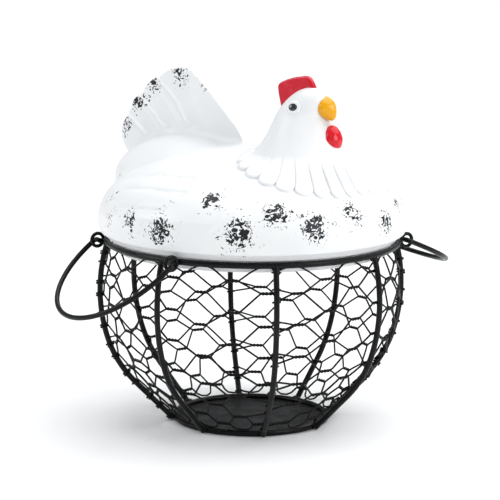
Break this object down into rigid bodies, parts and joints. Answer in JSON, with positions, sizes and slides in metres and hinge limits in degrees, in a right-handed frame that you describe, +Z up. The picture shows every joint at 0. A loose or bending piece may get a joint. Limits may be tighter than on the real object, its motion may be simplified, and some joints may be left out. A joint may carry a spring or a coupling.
{
  "type": "wire produce basket",
  "caption": "Round black wire produce basket with hexagonal netting, swinging bail handles and a lift-off glazed ceramic hen lid.",
  "frame": {"origin": "middle of the base plate's underside, on the surface the basket stands on", "axes": "+Z up; the two bails hang on +X and -X; the hen on the lid faces between -Y and +X"},
  "size_m": [0.2665, 0.1983, 0.2178],
  "materials": {
    "black_wire": "satin black paint over welded steel wire",
    "netting_wire": "satin black paint over twisted steel wire",
    "black_sheet": "satin black paint over steel sheet",
    "bail_wire": "satin black paint over bent steel wire",
    "white_glaze": "glossy white glaze with sponged black flecks",
    "red_glaze": "glossy red glaze",
    "yellow_glaze": "glossy yellow glaze",
    "eye_glaze": "glossy black pupil in a white ring"
  },
  "bodies": {
    "basket": {"rim_ring": "black_wire", "base_ring": "black_wire", "base_plate": "black_sheet", "rib_1": "black_wire", "rib_2": "black_wire", "rib_3": "black_wire", "rib_4": "black_wire", "rib_5": "black_wire", "rib_6": "black_wire", "rib_7": "black_wire", "rib_8": "black_wire", "netting_1": "netting_wire", "netting_2": "netting_wire", "netting_3": "netting_wire", "netting_4": "netting_wire", "netting_5": "netting_wire", "netting_6": "netting_wire", "netting_7": "netting_wire", "netting_8": "netting_wire", "left_front_eye": "black_wire", "left_back_eye": "black_wire", "right_front_eye": "black_wire", "right_back_eye": "black_wire"},
    "left_bail": {"left_bail": "bail_wire"},
    "right_bail": {"right_bail": "bail_wire"},
    "lid": {"hen_lid": "white_glaze", "comb": "red_glaze", "beak": "yellow_glaze", "wattle": "red_glaze", "hen_left_eye": "eye_glaze", "hen_right_eye": "eye_glaze"}
  },
  "joints": [
    {"name": "left_bail_swing", "type": "hinge", "parent": "basket", "child": "left_bail", "pos_m": [-0.0837, 0, 0.113], "axis": [0, 1, 0], "range_deg": [-40, 123.5]},
    {"name": "right_bail_swing", "type": "hinge", "parent": "basket", "child": "right_bail", "pos_m": [0.0837, 0, 0.113], "axis": [0, -1, 0], "range_deg": [-55.5, 108]},
    {"name": "lid_lift", "type": "slide", "parent": "basket", "child": "lid", "axis": [0, 0, 1], "range_m": [0, 0.15]}
  ]
}
